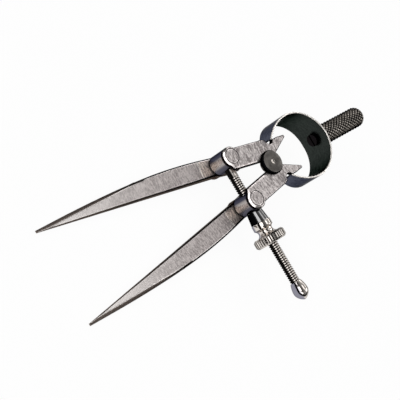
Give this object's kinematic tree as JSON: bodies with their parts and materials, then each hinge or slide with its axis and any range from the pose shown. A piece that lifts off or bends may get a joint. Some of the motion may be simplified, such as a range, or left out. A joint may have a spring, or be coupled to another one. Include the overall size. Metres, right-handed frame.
{
  "type": "spring dividers",
  "caption": "Spring dividers: cranked pointed steel legs on a fulcrum stud, sprung open by a bow with a knurled handle, and set by a knurled nut on a cross screw.",
  "frame": {"origin": "middle of the back face of the fulcrum stud, on the fulcrum axis", "axes": "+Y from the fulcrum to the handle, +X along the screw towards the nut, +Z out of the front of the tool, along the fulcrum axis"},
  "size_m": [0.0694, 0.1554, 0.0208],
  "materials": {
    "leg_steel": "satin ground",
    "swivel_steel": "polished",
    "stud_steel": "turned, dark",
    "blued_spring": "blued strip with bright edges",
    "black_oxide": "black oxide",
    "bright_steel": "bright polished"
  },
  "bodies": {
    "bow": {"bow_spring": "blued_spring", "fulcrum_stud": "stud_steel", "handle": "black_oxide", "handle_screw": "stud_steel"},
    "right_leg": {"right_leg": "leg_steel"},
    "left_leg": {"left_leg": "leg_steel"},
    "screw": {"adjusting_screw": "bright_steel", "screw_anchor_pin": "bright_steel", "screw_finial": "bright_steel", "left_swivel": "swivel_steel", "left_front_pin": "swivel_steel", "left_back_pin": "swivel_steel"},
    "right_swivel": {"right_swivel": "swivel_steel", "right_front_pin": "swivel_steel", "right_back_pin": "swivel_steel", "thrust_ferrule": "black_oxide"},
    "nut": {"adjusting_nut": "bright_steel"}
  },
  "joints": [
    {"name": "right_leg_hinge", "type": "hinge", "parent": "bow", "child": "right_leg", "pos_m": [0, 0, 0.0018], "axis": [0, 0, 1], "range_deg": [-10, 20], "deforming": ["bow_spring"]},
    {"name": "left_leg_hinge", "type": "hinge", "parent": "bow", "child": "left_leg", "pos_m": [0, 0, 0.0018], "axis": [0, 0, 1], "range_deg": [-20, 10], "deforming": ["bow_spring"]},
    {"name": "screw_swivel", "type": "hinge", "parent": "left_leg", "child": "screw", "pos_m": [-0.00911, -0.01516, -0.00265], "axis": [0, 0, 1], "range_deg": [-10, 20]},
    {"name": "right_swivel_turn", "type": "hinge", "parent": "right_leg", "child": "right_swivel", "pos_m": [0.00911, -0.01516, -0.00265], "axis": [0, 0, 1], "range_deg": [-20, 10]},
    {"name": "nut_turn", "type": "hinge", "parent": "right_swivel", "child": "nut", "pos_m": [0.02, -0.01516, -0.00265], "axis": [1, 0, 0], "range_deg": [-2116, 4233], "deforming": ["bow_spring"]}
  ],
  "couplings": [
    {"joint": "right_leg_hinge", "follows": "nut_turn", "ratio": 0.0047243},
    {"joint": "left_leg_hinge", "follows": "nut_turn", "ratio": -0.0047243},
    {"joint": "screw_swivel", "follows": "nut_turn", "ratio": 0.0047243},
    {"joint": "right_swivel_turn", "follows": "nut_turn", "ratio": -0.0047243}
  ]
}
